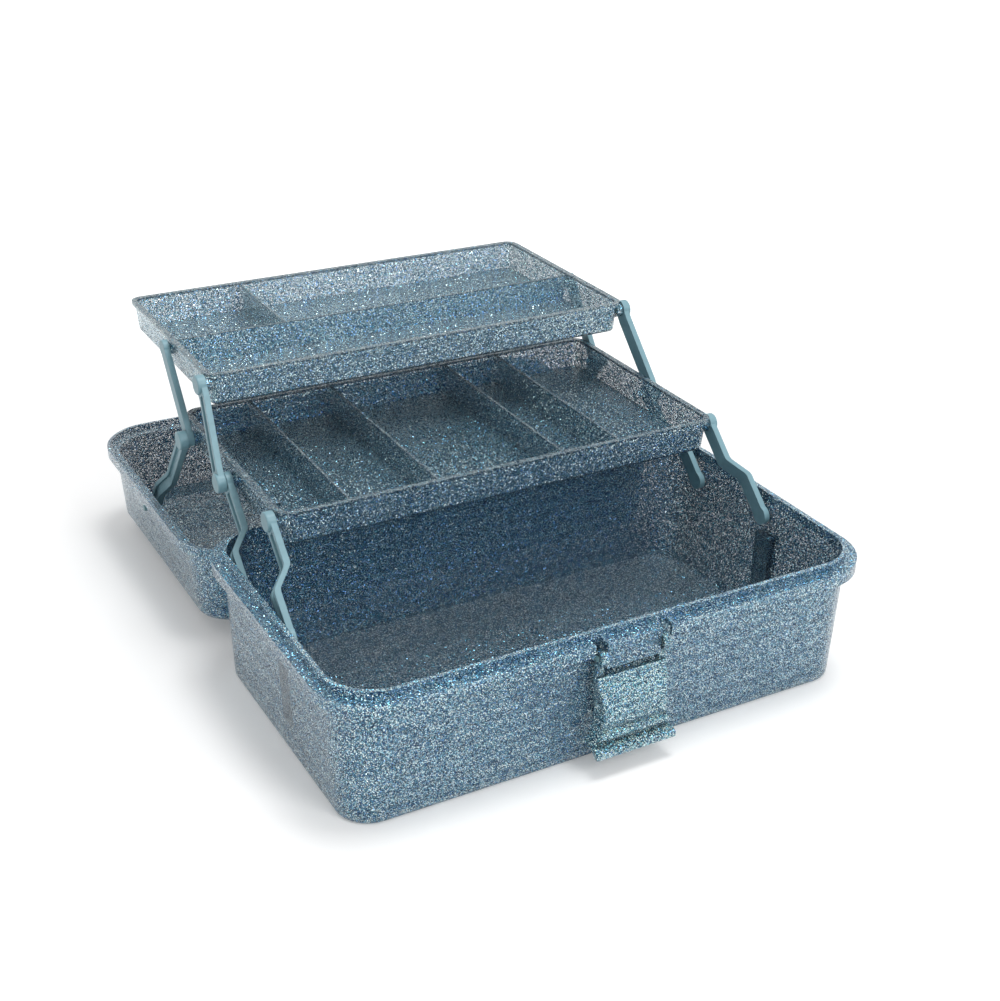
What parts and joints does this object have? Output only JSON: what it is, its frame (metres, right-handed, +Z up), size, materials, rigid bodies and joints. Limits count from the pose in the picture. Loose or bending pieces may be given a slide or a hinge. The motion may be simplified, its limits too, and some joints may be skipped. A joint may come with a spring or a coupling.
{
  "type": "craft caddy",
  "caption": "Clear glitter plastic caddy with a fold-back lid, front latch and two divided trays that rise on side arms as the lid opens.",
  "frame": {"origin": "centre of the base tub's flat underside, on the surface it stands on", "axes": "+X right along the length, +Y from the latched front to the hinged rear, +Z up"},
  "size_m": [0.33, 0.4095, 0.16],
  "materials": {
    "glitter_plastic": "translucent smoky blue moulded plastic filled with silver and teal glitter flakes",
    "arm_plastic": "opaque dusty teal moulded plastic, semi-gloss",
    "pin_plastic": "opaque dusty teal moulded plastic pins"
  },
  "bodies": {
    "base": {"base_tub": "glitter_plastic", "hinge_pin_left": "pin_plastic", "hinge_pin_right": "pin_plastic", "latch_pin": "pin_plastic"},
    "lid": {"lid": "glitter_plastic", "lid_link_pins": "pin_plastic"},
    "latch": {"latch": "glitter_plastic"},
    "carry_handle": {"carry_handle": "glitter_plastic"},
    "link_left": {"lid_link_left": "arm_plastic"},
    "link_right": {"lid_link_right": "arm_plastic"},
    "lower_tray": {"lower_tray": "glitter_plastic", "lower_tray_pins": "pin_plastic"},
    "upper_tray": {"upper_tray": "glitter_plastic", "upper_tray_pins": "pin_plastic"},
    "lower_rear_arm_left": {"lower_rear_arm_left": "arm_plastic"},
    "lower_front_arm_left": {"lower_front_arm_left": "arm_plastic"},
    "upper_front_arm_left": {"upper_front_arm_left": "arm_plastic"},
    "upper_rear_arm_left": {"upper_rear_arm_left": "arm_plastic"},
    "lower_rear_arm_right": {"lower_rear_arm_right": "arm_plastic"},
    "lower_front_arm_right": {"lower_front_arm_right": "arm_plastic"},
    "upper_front_arm_right": {"upper_front_arm_right": "arm_plastic"},
    "upper_rear_arm_right": {"upper_rear_arm_right": "arm_plastic"}
  },
  "joints": [
    {"name": "lid_hinge", "type": "hinge", "parent": "base", "child": "lid", "pos_m": [0, 0.1003, 0.0705], "axis": [1, 0, 0], "range_deg": [0, 180]},
    {"name": "latch_hinge", "type": "hinge", "parent": "base", "child": "latch", "pos_m": [0, -0.0975, 0.0685], "axis": [-1, 0, 0], "range_deg": [0, 165]},
    {"name": "handle_hinge", "type": "hinge", "parent": "lid", "child": "carry_handle", "pos_m": [0, 0.2166, 0.0137], "axis": [1, 0, 0], "range_deg": [-10, 80]},
    {"name": "link_left_pivot", "type": "hinge", "parent": "lid", "child": "link_left", "pos_m": [0, 0.2185, 0.0423], "axis": [1, 0, 0], "range_deg": [0, 25.61]},
    {"name": "link_right_pivot", "type": "hinge", "parent": "lid", "child": "link_right", "pos_m": [0, 0.2185, 0.0423], "axis": [1, 0, 0], "range_deg": [0, 25.61]},
    {"name": "lower_tray_level", "type": "hinge", "parent": "link_left", "child": "lower_tray", "pos_m": [0, 0.1673, 0.1077], "axis": [1, 0, 0], "range_deg": [-205.61, 0]},
    {"name": "lower_rear_arm_left_pivot", "type": "hinge", "parent": "lower_tray", "child": "lower_rear_arm_left", "pos_m": [0, 0.10331, 0.10765], "axis": [1, 0, 0], "range_deg": [0, 138.99]},
    {"name": "lower_front_arm_left_pivot", "type": "hinge", "parent": "lower_tray", "child": "lower_front_arm_left", "pos_m": [0, 0.03831, 0.11265], "axis": [1, 0, 0], "range_deg": [0, 138.99]},
    {"name": "upper_front_arm_left_pivot", "type": "hinge", "parent": "lower_tray", "child": "upper_front_arm_left", "pos_m": [0, 0.10331, 0.10765], "axis": [1, 0, 0], "range_deg": [0, 100.14]},
    {"name": "upper_rear_arm_left_pivot", "type": "hinge", "parent": "lower_tray", "child": "upper_rear_arm_left", "pos_m": [0, 0.1673, 0.1077], "axis": [1, 0, 0], "range_deg": [0, 100.14]},
    {"name": "lower_rear_arm_right_pivot", "type": "hinge", "parent": "lower_tray", "child": "lower_rear_arm_right", "pos_m": [0, 0.10331, 0.10765], "axis": [1, 0, 0], "range_deg": [0, 138.99]},
    {"name": "lower_front_arm_right_pivot", "type": "hinge", "parent": "lower_tray", "child": "lower_front_arm_right", "pos_m": [0, 0.03831, 0.11265], "axis": [1, 0, 0], "range_deg": [0, 138.99]},
    {"name": "upper_front_arm_right_pivot", "type": "hinge", "parent": "lower_tray", "child": "upper_front_arm_right", "pos_m": [0, 0.10331, 0.10765], "axis": [1, 0, 0], "range_deg": [0, 100.14]},
    {"name": "upper_rear_arm_right_pivot", "type": "hinge", "parent": "lower_tray", "child": "upper_rear_arm_right", "pos_m": [0, 0.1673, 0.1077], "axis": [1, 0, 0], "range_deg": [0, 100.14]},
    {"name": "upper_tray_level", "type": "hinge", "parent": "upper_rear_arm_left", "child": "upper_tray", "pos_m": [0, 0.20184, 0.15354], "axis": [1, 0, 0], "range_deg": [-100.14, 0]}
  ],
  "couplings": [
    {"joint": "link_left_pivot", "follows": "lid_hinge", "ratio": 0.14222},
    {"joint": "link_right_pivot", "follows": "lid_hinge", "ratio": 0.14222},
    {"joint": "lower_tray_level", "follows": "lid_hinge", "ratio": -1.1422},
    {"joint": "lower_rear_arm_left_pivot", "follows": "lid_hinge", "ratio": 0.77211},
    {"joint": "lower_front_arm_left_pivot", "follows": "lid_hinge", "ratio": 0.77211},
    {"joint": "upper_front_arm_left_pivot", "follows": "lid_hinge", "ratio": 0.55629},
    {"joint": "upper_rear_arm_left_pivot", "follows": "lid_hinge", "ratio": 0.55629},
    {"joint": "lower_rear_arm_right_pivot", "follows": "lid_hinge", "ratio": 0.77211},
    {"joint": "lower_front_arm_right_pivot", "follows": "lid_hinge", "ratio": 0.77211},
    {"joint": "upper_front_arm_right_pivot", "follows": "lid_hinge", "ratio": 0.55629},
    {"joint": "upper_rear_arm_right_pivot", "follows": "lid_hinge", "ratio": 0.55629},
    {"joint": "upper_tray_level", "follows": "lid_hinge", "ratio": -0.55629}
  ]
}
